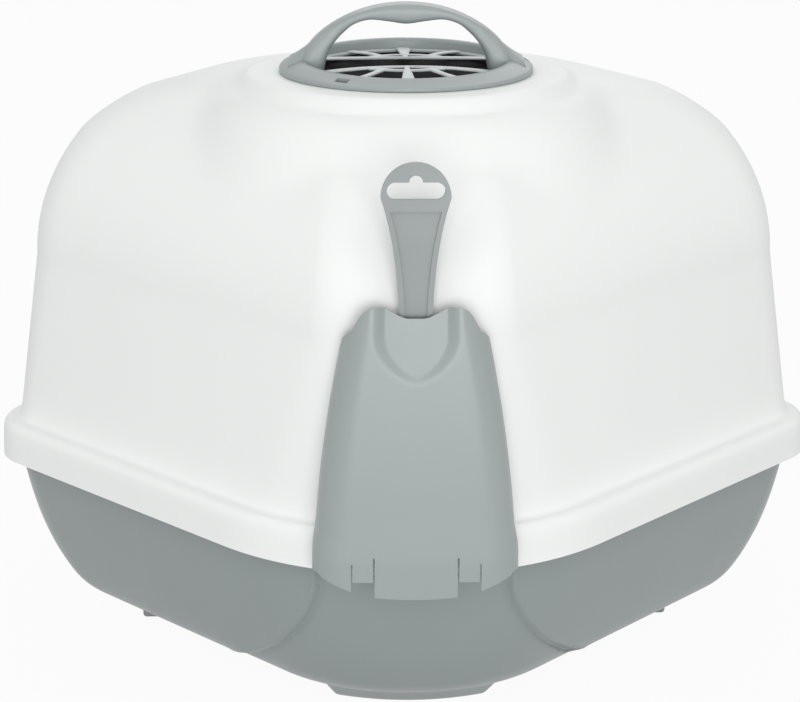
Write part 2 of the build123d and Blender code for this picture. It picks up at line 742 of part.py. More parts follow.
os.makedirs("parts", exist_ok=True)
for name, shape in (
    ("hood", make_hood()),
    ("tray", make_tray()),
    ("vent_handle", make_vent_handle()),
    ("vent_grille", make_vent_grille()),
    ("filter_tray", make_filter_tray()),
    ("charcoal_filter", make_filter()),
    ("entrance_frame", make_entrance_frame()),
    ("flap", make_flap()),
    ("flap_pins", make_flap_pins()),
    ("latch_right", make_latch(1)),
    ("latch_left", make_latch(-1)),
    ("latch_pins", make_latch_pins()),
    ("scoop", make_scoop()),
    ("scoop_holder", make_holder()),
):
    export_step(shape, "parts/" + name + ".step")
    print(name, round(shape.volume), len(shape.solids()))
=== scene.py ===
import bpy
import bmesh
import json
from math import atan2, cos, exp, pi, radians, sin, sqrt, tan
from mathutils import Matrix, Vector

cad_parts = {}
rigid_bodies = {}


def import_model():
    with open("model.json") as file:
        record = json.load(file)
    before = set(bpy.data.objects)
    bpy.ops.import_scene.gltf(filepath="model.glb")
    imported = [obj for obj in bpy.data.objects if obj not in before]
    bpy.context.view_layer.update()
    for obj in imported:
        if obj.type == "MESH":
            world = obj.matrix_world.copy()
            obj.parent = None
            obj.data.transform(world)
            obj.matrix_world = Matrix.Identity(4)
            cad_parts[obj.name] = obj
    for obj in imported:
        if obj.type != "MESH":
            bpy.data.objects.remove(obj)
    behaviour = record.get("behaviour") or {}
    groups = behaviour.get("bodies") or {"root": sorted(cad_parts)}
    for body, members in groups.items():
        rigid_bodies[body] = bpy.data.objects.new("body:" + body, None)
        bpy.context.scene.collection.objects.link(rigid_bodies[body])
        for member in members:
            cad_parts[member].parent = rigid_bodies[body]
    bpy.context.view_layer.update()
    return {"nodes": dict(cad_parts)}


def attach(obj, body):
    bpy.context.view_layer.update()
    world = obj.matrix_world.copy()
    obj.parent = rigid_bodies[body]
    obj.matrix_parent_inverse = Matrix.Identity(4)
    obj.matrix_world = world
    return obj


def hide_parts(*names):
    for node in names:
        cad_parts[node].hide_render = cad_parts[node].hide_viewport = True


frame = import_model()

# Everything here is in metres, in the part's own frame: the rear corner points to -Y,
# the entrance faces +Y and the floor is at z = 0.
MM = 0.001

# The flange's plan, measured from the sharp point of its rear corner
rear_point_y = -285 * MM
flange_side_x = 292 * MM
front_depth = 512 * MM
front_corner_x = 168 * MM
flange_rear_radius = 160 * MM
flange_side_radius = 45 * MM
flange_front_radius = 70 * MM
flange_rear_flat = 4 * MM

# A cheek joins a side corner to a front corner
cheek_run = flange_side_x - front_corner_x
cheek_rise = front_depth - flange_side_x
cheek_length = sqrt(cheek_run ** 2 + cheek_rise ** 2)
cheek_out = (cheek_rise / cheek_length, cheek_run / cheek_length)

# Faces that meet at less than this many degrees are shaded smooth
smooth_angle = 35

# Heights and runs of the hood
flange_bottom_z = 121 * MM
flange_top_z = 147 * MM
dome_start_z = 262 * MM
dome_top_z = 384 * MM
front_bend_z = 325 * MM
pad_top_z = 389 * MM
hood_wall = 2.5 * MM
wall_inset = 13 * MM
wall_taper = 12 * MM
dome_run = 135 * MM
front_inset = 12 * MM
front_run = 104 * MM

# Rear radius, rear flat, side radius and front radius of the hood's plan, in millimetres
wall_foot_plan = (120, 14, 34, 58)
dome_foot_plan = (40, 35, 55, 66)
dome_head_plan = (30, 27, 65, 54)

vent_centre = Vector((0.0, rear_point_y + 287 * MM))
pad_radius = 104 * MM
vent_hole_radius = 70 * MM

# Entrance cut, the same as the CAD frame's outside with its clearance
entry_low_z = 158.7 * MM
entry_high_z = 323.3 * MM
entry_half = 109.3 * MM
front_y = rear_point_y + front_depth - front_inset


def smooth_step(low, high, value):
    """0 below low, 1 above high, with a soft start and end."""
    t = min(1.0, max(0.0, (value - low) / (high - low)))
    return t * t * (3 - 2 * t)


def soft_max(a, b, soft):
    """The larger of two heights, blended where they are within soft of each other."""
    h = max(soft - abs(a - b), 0.0) / soft
    return max(a, b) + h * h * soft / 4


def line_cross(n1, d1, n2, d2):
    """The point on both lines n.p = d."""
    det = n1[0] * n2[1] - n1[1] * n2[0]
    return Vector(((d1 * n2[1] - d2 * n1[1]) / det, (n1[0] * d2 - n2[0] * d1) / det))


def plan_outline(inset, front, rear_radius, rear_flat, side_radius, front_radius,
                 arc_steps=(20, 20, 20), run_steps=(22, 22, 22, 22)):
    """Points round the box's plan, the flange outline moved in by inset.

    arc_steps are the steps of a rear, side and front corner, and run_steps those of a rear
    wall, a cheek, the front and the rear flat.
    """
    wall_out = (sqrt(0.5), -sqrt(0.5))
    cheek_reach = (cheek_out[0] + cheek_out[1]) * flange_side_x - (inset + front) / 2
    rear_y = rear_radius * tan(radians(22.5)) + rear_flat + inset * sqrt(2)
    right = [line_cross((0, -1), -rear_y, wall_out, -inset),
             line_cross(wall_out, -inset, cheek_out, cheek_reach),
             line_cross(cheek_out, cheek_reach, (0, 1), front_depth - front)]
    corners = right + [Vector((-p.x, p.y)) for p in reversed(right)]
    radii = [rear_radius, side_radius, front_radius]
    radii += radii[::-1]
    arc_count = [*arc_steps, *reversed(arc_steps)]
    wall_steps, cheek_steps, front_steps, rear_steps = run_steps
    run_count = [wall_steps, cheek_steps, front_steps, cheek_steps, wall_steps, rear_steps]
    starts, ends, arcs = [], [], []
    count = len(corners)
    for k in range(count):
        p = corners[k]
        a = (corners[k - 1] - p).normalized()
        b = (corners[(k + 1) % count] - p).normalized()
        half = a.angle(b) / 2
        reach = radii[k] / tan(half)
        centre = p + (a + b).normalized() * (radii[k] / sin(half))
        start, end = p + a * reach, p + b * reach
        swept = []
        first = atan2(start.y - centre.y, start.x - centre.x)
        turn = pi - 2 * half
        for j in range(arc_count[k]):
            angle = first + turn * j / arc_count[k]
            swept.append(centre + radii[k] * Vector((cos(angle), sin(angle))))
        starts.append(start)
        ends.append(end)
        arcs.append(swept)
    points = []
    for k in range(count):
        points += arcs[k]
        after = starts[(k + 1) % count]
        points += [ends[k].lerp(after, j / run_count[k]) for j in range(run_count[k])]
    return [Vector((p.x, p.y + rear_point_y)) for p in points]


def grid_mesh(name, rows, closed):
    """A mesh from rows of points, joined row to row; closed rows join end to end."""
    mesh = bmesh.new()
    table = [[mesh.verts.new(p) for p in row] for row in rows]
    for low, high in zip(table, table[1:]):
        count = len(low)
        for k in range(count if closed else count - 1):
            n = (k + 1) % count
            mesh.faces.new((low[k], low[n], high[n], high[k]))
    bmesh.ops.recalc_face_normals(mesh, faces=mesh.faces)
    data = bpy.data.meshes.new(name)
    mesh.to_mesh(data)
    mesh.free()
    obj = bpy.data.objects.new(name, data)
    bpy.context.scene.collection.objects.link(obj)
    return obj


def settle(obj):
    """Apply an object's modifiers and shade it smooth between faces that meet gently."""
    graph = bpy.context.evaluated_depsgraph_get()
    data = bpy.data.meshes.new_from_object(obj.evaluated_get(graph))
    obj.modifiers.clear()
    obj.data = data
    data.shade_smooth()
    data.set_sharp_from_angle(angle=radians(smooth_angle))
    return obj


def round_edges(obj, width, segments, least_angle):
    """Round the edges that turn by more than least_angle degrees."""
    rounding = obj.modifiers.new("rounding", "BEVEL")
    rounding.width = width
    rounding.segments = segments
    rounding.limit_method = "ANGLE"
    rounding.angle_limit = radians(least_angle)
    return settle(obj)


def fill_ends(obj):
    """Close an object's open rings with faces."""
    mesh = bmesh.new()
    mesh.from_mesh(obj.data)
    bmesh.ops.holes_fill(mesh, edges=mesh.edges)
    bmesh.ops.recalc_face_normals(mesh, faces=mesh.faces)
    mesh.to_mesh(obj.data)
    mesh.free()
    return obj


def turned(name, profile, centre, lift=None):
    """A ring turned round an upright line through centre from (radius, z) points.

    lift gives how far a point rises, from its radius, y and z.
    """
    steps = 144
    rows = []
    for radius, z in profile:
        row = []
        for k in range(steps):
            angle = 2 * pi * k / steps
            x, y = radius * cos(angle), radius * sin(angle)
            rise = lift(radius, y, z) if lift else 0.0
            row.append(Vector((centre.x + x, centre.y + y, z + rise)))
        rows.append(row)
    return grid_mesh(name, rows, True)


def curve_through(points, steps):
    """Smooth points along a line through the given points, steps to each span."""
    ends = [2 * points[0] - points[1], *points, 2 * points[-1] - points[-2]]
    line = []
    for k in range(1, len(ends) - 2):
        a, b, c, d = ends[k - 1:k + 3]
        for j in range(steps):
            t = j / steps
            line.append(0.5 * (2 * b + (c - a) * t + (2 * a - 5 * b + 4 * c - d) * t * t
                               + (3 * b - a - 3 * c + d) * t ** 3))
    return line + [points[-1]]


def bar(name, stations, squareness, around):
    """A closed bar through stations of (centre, half width, half height) vectors.

    A squareness of 1 gives an ellipse, and less gives squarer corners.
    """
    rows = []
    for centre, wide, high in stations:
        row = []
        for k in range(around):
            angle = 2 * pi * k / around
            u, v = cos(angle), sin(angle)
            u = abs(u) ** squareness * (1 if u > 0 else -1)
            v = abs(v) ** squareness * (1 if v > 0 else -1)
            row.append(centre + wide * u + high * v)
        rows.append(row)
    return fill_ends(grid_mesh(name, rows, True))


def joined(name, pieces):
    """One object from several."""
    mesh = bmesh.new()
    for piece in pieces:
        mesh.from_mesh(piece.data)
    data = bpy.data.meshes.new(name)
    mesh.to_mesh(data)
    mesh.free()
    for piece in pieces:
        bpy.data.objects.remove(piece)
    obj = bpy.data.objects.new(name, data)
    bpy.context.scene.collection.objects.link(obj)
    return settle(obj)


# Hood

# The dome is swept up to this angle, and a cap joins it to the pad
dome_last_angle = radians(60)
pad_blend = 9 * MM


def dome_height(angle):
    """The dome's height at an angle of its sweep, 0 at its foot."""
    return dome_start_z + (dome_top_z - dome_start_z) * sin(angle)


def plan_between(low, high, t):
    """A share t of the way from one plan's sizes to another's, in metres."""
    return [(a + (b - a) * t) * MM for a, b in zip(low, high)]


def hood_outline(z, angle=None):
    """The hood's outline on its walls (angle None) or on its dome."""
    if angle is None:
        t = (z - flange_top_z) / (dome_start_z - flange_top_z)
        inset = wall_inset + wall_taper * t
        return plan_outline(inset, front_inset, *plan_between(wall_foot_plan, dome_foot_plan, t))
    t = angle / (pi / 2)
    inset = wall_inset + wall_taper + dome_run * (1 - cos(angle))
    rise = max(0.0, (z - front_bend_z) / (dome_top_z - front_bend_z))
    front = max(front_inset, front_inset - 6 * MM + front_run * (1 - sqrt(1 - rise * rise)))
    return plan_outline(inset, front, *plan_between(dome_foot_plan, dome_head_plan, t))


def pad_height(radius):
    """The raised pad's own height over its distance from the vent's centre."""
    if radius < pad_radius:
        return pad_top_z
    edge = 9 * MM * smooth_step(pad_radius, pad_radius + 12 * MM, radius)
    fall = 16 * MM * (max(0.0, radius - pad_radius - 8 * MM) / (24 * MM)) ** 2
    return pad_top_z - edge - fall


def lifted(point, z):
    """A dome point raised onto the pad where the pad stands higher."""
    radius = (point - vent_centre).length
    return Vector((point.x, point.y, soft_max(z, pad_height(radius), pad_blend)))


def make_hood():
    """The hood's shell: flange, walls, dome and pad, down to the vent's hole."""
    rows = []
    for z, inset in ((121.0, 0.0), (121.8, 0.1), (130, 0.4), (138, 0.8), (141.5, 1.2), (143.8, 2.0),
                     (145.4, 3.4), (146.4, 5.2), (146.9, 7.4), (147.1, 9.4), (147.6, 11.2), (148.8, 12.4),
                     (150.6, 13.0)):
        inset = inset * MM
        t = smooth_step(3 * MM, wall_inset, inset)
        flange_plan = (flange_rear_radius - inset, flange_rear_flat,
                       flange_side_radius - inset, flange_front_radius - inset)
        sizes = [a * (1 - t) + b * MM * t for a, b in zip(flange_plan, wall_foot_plan)]
        outline = plan_outline(inset, inset * (1 - t) + front_inset * t, *sizes)
        rows.append([Vector((p.x, p.y, z * MM)) for p in outline])
    wall_rows = 18
    for k in range(1, wall_rows + 1):
        z = flange_top_z + 4 * MM + (dome_start_z - flange_top_z - 4 * MM) * k / wall_rows
        rows.append([Vector((p.x, p.y, z)) for p in hood_outline(z)])
    dome_rows = 44
    for k in range(1, dome_rows + 1):
        angle = dome_last_angle * k / dome_rows
        z = dome_height(angle)
        rows.append([lifted(p, z) for p in hood_outline(z, angle)])
    dome_end_z = dome_height(dome_last_angle)
    ring = hood_outline(dome_end_z, dome_last_angle)
    cap_rows = 20
    for k in range(1, cap_rows + 1):
        s = k / cap_rows
        z = dome_end_z + (dome_top_z - dome_end_z) * sin(s * pi / 2)
        row = []
        for p in ring:
            offset = p - vent_centre
            target = vent_centre + offset.normalized() * (pad_radius - 2 * MM)
            row.append(lifted(p.lerp(target, s), z))
        rows.append(row)
    for radius in (96 * MM, 88 * MM, 80 * MM, 74 * MM, vent_hole_radius):
        rows.append([Vector((*(vent_centre + (p - vent_centre).normalized() * radius), pad_top_z))
                     for p in ring])
    obj = grid_mesh("hood_shell", rows, True)
    thick = obj.modifiers.new("thick", "SOLIDIFY")
    thick.thickness = hood_wall
    thick.offset = -1
    thick.use_even_offset = False
    return obj


def entry_cutter():
    """A block with the entrance's rounded outline, to cut through the front wall."""
    upper, lower = 13.3 * MM, 45.3 * MM
    outline = []
    for cx, cz, radius, first in ((1, 1, upper, 0), (-1, 1, upper, 90),
                                  (-1, -1, lower, 180), (1, -1, lower, 270)):
        x = cx * (entry_half - radius)
        z = entry_high_z - radius if cz > 0 else entry_low_z + radius
        for j in range(13):
            angle = radians(first + 90 * j / 12)
            outline.append((x + radius * cos(angle), z + radius * sin(angle)))
    reach = 30 * MM
    rows = [[Vector((x, front_y + d, z)) for x, z in outline] for d in (-reach, reach)]
    return fill_ends(grid_mesh("entry_cutter", rows, True))


def cut(obj, cutter):
    """Cut cutter out of obj and remove the cutter."""
    boolean = obj.modifiers.new("cut", "BOOLEAN")
    boolean.operation = "DIFFERENCE"
    boolean.object = cutter
    boolean.solver = "FAST"
    settle(obj)
    bpy.data.objects.remove(cutter)


def make_latch_ear(side, end):
    """One of the two ears on the flange that hold a latch's pin.

    The outline is in millimetres: distance out from the cheek's middle, and height.
    """
    out = Vector((side * cheek_out[0], cheek_out[1], 0))
    along = Vector((-out.y, out.x, 0))
    middle_x = (flange_side_x + front_corner_x) / 2 - 4 * MM
    middle_y = flange_side_x + (flange_side_x - middle_x) * cheek_rise / cheek_run + rear_point_y
    middle = Vector((side * middle_x, middle_y, 0))
    pin_out, pin_z, eye_radius = 1.5, 152, 4
    outline = [(-12, 145), (4.4, 145), (5.4, 148)]
    outline += [(pin_out + eye_radius * cos(radians(a)), pin_z + eye_radius * sin(radians(a)))
                for a in range(0, 181, 15)]
    outline += [(-5.5, 149.6), (-12, 148.4)]
    rows = [[middle + along * (end * d * MM) + out * (x * MM) + Vector((0, 0, z * MM)) for x, z in outline]
            for d in (18.3, 22.0)]
    name = "latch_ear_" + ("right" if side > 0 else "left") + ("_front" if end > 0 else "_rear")
    return round_edges(fill_ends(grid_mesh(name, rows, True)), 0.5 * MM, 2, 50)


# Tray

# Steps round the tray's plan, as plan_outline takes them, fine where the panels' edges lie
tray_arc_steps = (90, 18, 18)
tray_run_steps = (70, 16, 20, 6)
tray_floor_z = 14 * MM
rim_z = 144.4 * MM
roll_height = 20 * MM
roll_run = 17 * MM
panel_depth = 3.0 * MM
tray_wall = 2.8 * MM

# The side panels' edges are formed behind this line, and the floor closes round this middle
panel_end_y = -30 * MM
floor_middle_y = -20 * MM


def tray_rounding(z):
    """Extra inset where the tray's wall rolls under to the floor."""
    t = min(1.0, max(0.0, (tray_floor_z + roll_height - z) / roll_height))
    return roll_run * (1 - sqrt(max(0.0, 1 - t ** 2.4)))


def tray_outline(z, extra):
    """The tray's outline at height z, moved in by extra."""
    s = min(1.0, max(0.0, (flange_bottom_z - z) / (flange_bottom_z - tray_floor_z)))
    inset = (12.5 + 13 * s + 19 * s ** 3) * MM + extra
    return plan_outline(inset, inset, (146 - 31 * s) * MM - extra, flange_rear_flat,
                        (31 + 20 * s) * MM - extra, 56 * MM - extra, tray_arc_steps, tray_run_steps)


def block_edge_x(z):
    """Half width of the plain corner block at height z; the side panels start there."""
    return (60 + 0.066 * max(0.0, 103 - z / MM) ** 1.52) * MM


def panel_step(x, z):
    """How far the tray's skin lies inside the panels' face: 0 on a panel, deeper on the block."""
    out = abs(x) - block_edge_x(z)
    bead = 0.7 * MM * exp(-((out - 2.4 * MM) / (1.5 * MM)) ** 2)
    groove = 0.8 * MM * exp(-((out + 2.2 * MM) / (1.8 * MM)) ** 2)
    return panel_depth * (1 - smooth_step(-1.4 * MM, 1.2 * MM, out)) - bead + groove


def make_tray():
    """The tray's shell: up its outside from the floor, over the rim and down its inside."""
    rows = []

    def add(outline, z):
        rows.append([Vector((p.x, p.y, z)) for p in outline])

    def add_floor(shares, extra, z):
        outline = tray_outline(tray_floor_z, extra)
        for share in shares:
            add([Vector((p.x * share, (p.y - floor_middle_y) * share + floor_middle_y))
                 for p in outline], z)

    def add_wall(z, extra, panels):
        proud = tray_outline(z, extra)
        sunk = tray_outline(z, extra + panel_depth)
        row = []
        for a, b in zip(proud, sunk):
            share = panel_step(a.x, z) / panel_depth if panels and a.y < panel_end_y else 0.0
            p = a.lerp(b, share)
            row.append(Vector((p.x, p.y, z)))
        rows.append(row)

    add_floor((0.25, 0.6, 0.85), roll_run + 2 * MM, tray_floor_z)
    for angle in range(88, 0, -8):
        z = tray_floor_z + roll_height * (1 - sin(radians(angle)))
        add_wall(z, tray_rounding(z), True)
    wall_rows = 72
    for k in range(wall_rows):
        z = tray_floor_z + roll_height
        add_wall(z + (flange_bottom_z - z) * k / wall_rows, 0.0, True)
    add_wall(flange_bottom_z, 0.0, True)
    add_wall(125 * MM, 0.0, True)
    add_wall(141.4 * MM, 0.0, True)
    for inset, z in ((12.0, 141.6), (6.2, 141.7), (5.7, 142.0), (5.6, 143.9), (6.0, 144.3), (7.0, 144.4)):
        inset = inset * MM
        outline = plan_outline(inset, inset, flange_rear_radius - inset, flange_rear_flat,
                               flange_side_radius - inset, flange_front_radius - inset,
                               tray_arc_steps, tray_run_steps)
        add(outline, z * MM)
    inner = panel_depth + tray_wall
    add_wall(rim_z, inner, False)
    for k in range(11):
        add_wall((140 - 10 * k) * MM, inner, False)
    for angle in range(0, 90, 8):
        z = tray_floor_z + tray_wall + roll_height * (1 - sin(radians(angle)))
        add_wall(z, inner + tray_rounding(z - tray_wall), False)
    add_floor((0.85, 0.6, 0.25), roll_run + inner + 2 * MM, tray_floor_z + tray_wall)
    return settle(fill_ends(grid_mesh("tray_shell", rows, True)))


def make_rear_foot():
    """The long foot under the rear corner, rounded like the corner and sloping in.

    Its sizes are in millimetres from the part's middle.
    """
    corner_radius = 128
    rows = []
    for z, inset in ((20, -1), (16, 0), (12, 0), (8, 0), (4, 0), (1.6, 0.2), (0.5, 0.9), (0, 2.2)):
        half = 48.5 + 7.5 * z / 16 - inset
        row = []
        for k in range(33):
            x = -half + 2 * half * k / 32
            row.append(Vector((x, -141 - 1.06 * z + inset + x * x / (2 * corner_radius), z)) * MM)
        for k in range(33):
            x = half - 2 * half * k / 32
            row.append(Vector((x, -112 - inset, z)) * MM)
        rows.append(row)
    return round_edges(fill_ends(grid_mesh("foot_rear", rows, True)), 1.5 * MM, 3, 40)


# Vent cover

# The profiles and points of the vent cover are in millimetres from the vent's centre
slot_half = 13.5
grille_radius = 66 * MM
strip_half_thick = 0.9 * MM


def ring_tilt(radius, y, z):
    """The ring's top is a little higher towards the front than towards the rear corner."""
    share = smooth_step(391 * MM, 396 * MM, z)
    return share * 2.4 * MM * y / (75 * MM)


def make_vent_ring():
    """The ring, with the spigot that drops into the hood's hole."""
    profile = [(62, 391), (62.0, 389), (67, 389), (67, 383), (69.7, 383), (69.7, 389), (83, 389),
               (83.8, 389.4), (84, 390.2), (84, 391.6), (83.7, 392.6), (82.8, 393.5), (80, 394.9),
               (76, 396.4), (72, 397.5), (69.2, 397.9), (67.6, 397.6), (66.8, 396.8), (66.55, 395.6),
               (66.55, 391), (62, 391)]
    return turned("ring", [(r * MM, z * MM) for r, z in profile], vent_centre, ring_tilt)


# Matching outer and inner points (across, height) of the carrying arch's right half
arch_pairs = [((0, 434), (0, 420.6)), ((14, 433.0), (12, 422.2)), ((27, 430.1), (24, 423.4)),
              ((39, 425.5), (34, 420.6)), ((50, 419.5), (41, 415.2)), ((58, 413.4), (46.3, 409.6)),
              ((63.5, 407.6), (50.2, 404.0)), ((67.5, 401.5), (52.2, 399.0)),
              ((70.2, 395.8), (53.2, 394.6)), ((71.5, 391.6), (53.8, 391.2))]


def make_arch():
    """The carrying arch, from its right half's points and their mirror image."""
    pairs = [((-ax, az), (-bx, bz)) for (ax, az), (bx, bz) in reversed(arch_pairs[1:])] + arch_pairs
    outer = curve_through([Vector((x, 0, z)) * MM for (x, z), _ in pairs], 8)
    inner = curve_through([Vector((x, 0, z)) * MM for _, (x, z) in pairs], 8)
    stations = []
    for a, b in zip(outer, inner):
        middle, half = (a + b) / 2, (a - b) / 2
        width = (10.5 + 3.0 * smooth_step(45 * MM, 66 * MM, abs(middle.x))) * MM
        centre = middle + Vector((vent_centre.x, vent_centre.y, 0))
        stations.append((centre, Vector((0, width, 0)), half))
    return bar("arch", stations, 0.5, 40)


def make_flare(side):
    """The ring's swept-up flare outside one foot of the arch."""
    profile = ((56.5, 414.0, 5.0), (61.5, 409.6, 7.2), (66.5, 405.3, 10.0), (71.5, 401.7, 14.0),
               (77, 398.3, 19.0), (81.5, 394.6, 24.0), (83.6, 390.6, 28.0))
    low = 390.2
    ring_radius = 84
    stations = []
    for out, top, half in profile:
        curve = (ring_radius - sqrt(ring_radius ** 2 - half ** 2)) if out > 78 else 0.0
        centre = Vector((side * (out - curve), 0, (top + low) / 2)) * MM
        centre += Vector((vent_centre.x, vent_centre.y, 0))
        stations.append((centre, Vector((0, half, 0)) * MM, Vector((0, 0, (top - low) / 2)) * MM))
    return bar("flare", stations, 0.9, 40)


def make_vent_cover():
    """Ring, arch and flares in one piece, with the two small windows cut into the ring."""
    cover = joined("vent_ring", [make_vent_ring(), make_arch(), make_flare(-1), make_flare(1)])
    for angle, out, half_deep, half_wide, z in ((237, 77.5, 2.6, 4.8, 393.2), (6, 81.5, 2.4, 3.2, 394.6)):
        slot = box_piece("window_cutter", (-half_deep, -half_wide, -3), (half_deep, half_wide, 3))
        slot.data.transform(Matrix.Translation((vent_centre.x, vent_centre.y, z * MM))
                            @ Matrix.Rotation(radians(angle), 4, "Z")
                            @ Matrix.Translation((out * MM, -rear_point_y, 0)))
        slot.data.update()
        cut(cover, slot)
    return cover


def paint_inside_shade(cover):
    """Paint shade on the ring's inner wall and the windows' floors by giving them the dark second
    material.
    """
    for face in cover.data.polygons:
        radius = (Vector(face.center[:2]) - vent_centre).length
        inside = radius < 66.9 * MM and face.center.z < 391.4 * MM
        window = radius < 83 * MM and 389.6 * MM < face.center.z < 391.4 * MM
        if inside or window:
            face.material_index = 1


def grille_height(x, y):
    """The grille is a very shallow dome, tilted with the ring."""
    radius = sqrt(x * x + y * y)
    return 391.9 * MM + 2.6 * MM * (1 - (radius / grille_radius) ** 2) + 1.4 * MM * y / grille_radius


def grille_strip(points, widths):
    """A smooth strip of the grille through plan points, given in millimetres from its centre."""
    line = curve_through([Vector((x, y, 0)) * MM for x, y in points], 10)
    spread = curve_through([Vector((w, 0, 0)) * MM for w in widths], 10)
    stations = []
    for k, p in enumerate(line):
        ahead = line[min(k + 1, len(line) - 1)] - line[max(k - 1, 0)]
        across = Vector((-ahead.y, ahead.x, 0)).normalized()
        centre = Vector((vent_centre.x + p.x, vent_centre.y + p.y, grille_height(p.x, p.y)))
        stations.append((centre, across * spread[k].x / 2, Vector((0, 0, strip_half_thick))))
    return bar("strip", stations, 0.7, 14)


def make_grille():
    """Two mirrored halves of curved bars and wedges either side of a wide slot."""
    rim = ((66.4, 391.2), (66.4, 392.6), (66.0, 393.0), (61.6, 393.0), (61.2, 392.6), (61.2, 391.4),
           (61.6, 391.2), (66.4, 391.2))
    pieces = [turned("rim", [(r * MM, z * MM) for r, z in rim], vent_centre)]
    for half in (-1, 1):
        slot = [(x, half * (slot_half + 2.6 + 7 * (x / 50) ** 2))
                for x in (-58, -44, -30, -15, 0, 15, 30, 44, 58)]
        pieces.append(grille_strip(slot, (9, 8.5, 7.5, 6, 4, 6, 7.5, 8.5, 9)))
        wedge = [(0, half * (slot_half + 2)), (0, half * 34), (0, half * 63)]
        pieces.append(grille_strip(wedge, (2.6, 6, 10.5)))
        knot = half * (slot_half + 9.5)
        arc = [(-24, knot - half * 3), (-17, knot), (-9, knot + half * 3.4), (0, knot + half * 4.4),
               (9, knot + half * 3.4), (17, knot), (24, knot - half * 3)]
        pieces.append(grille_strip(arc, (6, 6.4, 4.6, 4, 4.6, 6.4, 6)))
        for side in (-1, 1):
            spoke = [(side * 15, knot - half), (side * 24, half * 37), (side * 36, half * 52)]
            pieces.append(grille_strip(spoke, (6, 5, 8)))
    return joined("vent_grille_bars", pieces)


# Scoop holder

holder_low_z = 112 * MM
holder_high_z = 287 * MM
holder_wall = 2.4 * MM
rear_gap = 0.2 * MM

# The holder narrows from this height up to its mouth, and the hood's plain wall starts at the second
holder_taper_z = 135 * MM
wall_foot_z = 150 * MM

# The holder's front takes this share of half its width, and its side wall the rest
front_share = 0.8


def holder_half(z):
    """Half the holder's width at height z, wide at the flange and narrow at the mouth."""
    flare = 1.1 * MM * (1 - smooth_step(140 * MM, 152 * MM, z))
    tuck = 1.2 * MM * (1 - smooth_step(112 * MM, 118 * MM, z))
    t = max(0.0, (z - holder_taper_z) / (holder_high_z - holder_taper_z))
    return (58.4 - 9.0 * t - 13.2 * t * t) * MM + flare - tuck


def holder_rear(z):
    """How far the holder's face stands from the sharp rear point."""
    t = max(0.0, (z - holder_taper_z) / (holder_high_z - holder_taper_z))
    return (57.6 + 6.0 * t + 8.0 * t * t) * MM - 0.6 * MM * (1 - smooth_step(126 * MM, 164 * MM, z))


def hood_skin_y(x, z):
    """Where the hood's or flange's rear skin lies at a place on the holder's edge."""
    x = abs(x)
    wall_skin_y = 82.1 * MM
    if z < wall_foot_z:
        flange = 70.3 * MM + x * x / (2 * flange_rear_radius)
        wall = wall_skin_y + max(0.0, x - 14 * MM) ** 2 / (2 * 120 * MM)
        t = smooth_step(144 * MM, wall_foot_z, z)
        return flange * (1 - t) + wall * t
    t = (z - wall_foot_z) / (dome_start_z - wall_foot_z)
    radius, flat = plan_between(wall_foot_plan, dome_foot_plan, t)[:2]
    tip = wall_skin_y + (4.6 * min(t, 1.0) + 22 * max(0.0, t - 1.0) ** 1.5) * MM
    over = max(0.0, x - flat)
    return tip + min(over * over / (2 * radius), over)


def mouth_height(x):
    """The holder's top edge: a dip between two rounded shoulders."""
    x = abs(x)
    dip = 7.0 * MM * (1 - smooth_step(4 * MM, 25 * MM, x))
    shoulder = 11 * MM * max(0.0, (x - 27 * MM) / (9 * MM)) ** 2
    return holder_high_z - dip - min(shoulder, 16 * MM)


def holder_foot(x):
    """The holder's lower edge: bowed under the middle tongue and rising to both sides."""
    x = abs(x)
    if x < 33 * MM:
        return holder_low_z + 1.2 * MM * (x / (25 * MM)) ** 2 - 0.5 * MM
    if x < 55 * MM:
        return 115.6 * MM + 7.4 * MM * ((x - 38 * MM) / (17 * MM))
    return 123 * MM + 3.5 * MM * ((x - 55 * MM) / (4.5 * MM)) ** 1.6


def holder_point(u, v):
    """A point of the holder's skin: u from -1 to 1 across it, v from 0 to 1 up it."""
    side = 1 if u > 0 else -1
    across = abs(u)
    guess = holder_high_z
    for _ in range(3):
        half = holder_half(guess)
        x = min(across / front_share, 1.0) * half
        back = max(0.0, (across - front_share) / (1 - front_share))
        low = holder_foot(x) - 4.5 * MM * back
        guess = low + v * (mouth_height(x) - 11 * MM * back - low)
    z = guess
    half, rear = holder_half(z), holder_rear(z)
    corner = 2.2 * MM
    bevel = 13 * MM * (half / (58 * MM)) + 6 * MM
    if across < front_share:
        x = across / front_share * (half - corner)
        near = max(0.0, (x - (half - bevel)) / bevel)
        depth = 1.4 * MM * (x / half) ** 2 + 9.5 * MM * near ** 2.6
    else:
        t = (across - front_share) / (1 - front_share)
        turn = min(1.0, t / 0.45)
        x = half - corner * (1 - turn) ** 2
        edge = 1.4 * MM * ((half - corner) / half) ** 2 + 9.5 * MM * (1 - corner / bevel) ** 2.6
        start = rear + edge
        stop = hood_skin_y(half, z) - rear_gap
        depth = edge + (stop - start) * t
    dent = 0.0
    dent_low_z = 243 * MM
    if z > dent_low_z:
        reach = (z - dent_low_z) / (44 * MM)
        width = 25 * MM * sin(min(1.0, reach / 0.62) * pi / 2) ** 0.6
        dent = 5.6 * MM * reach ** 0.7 * (1 - smooth_step(width - 7 * MM, width + 1.5 * MM, abs(x)))
    return Vector((side * x, rear_point_y + rear + depth + dent, z))


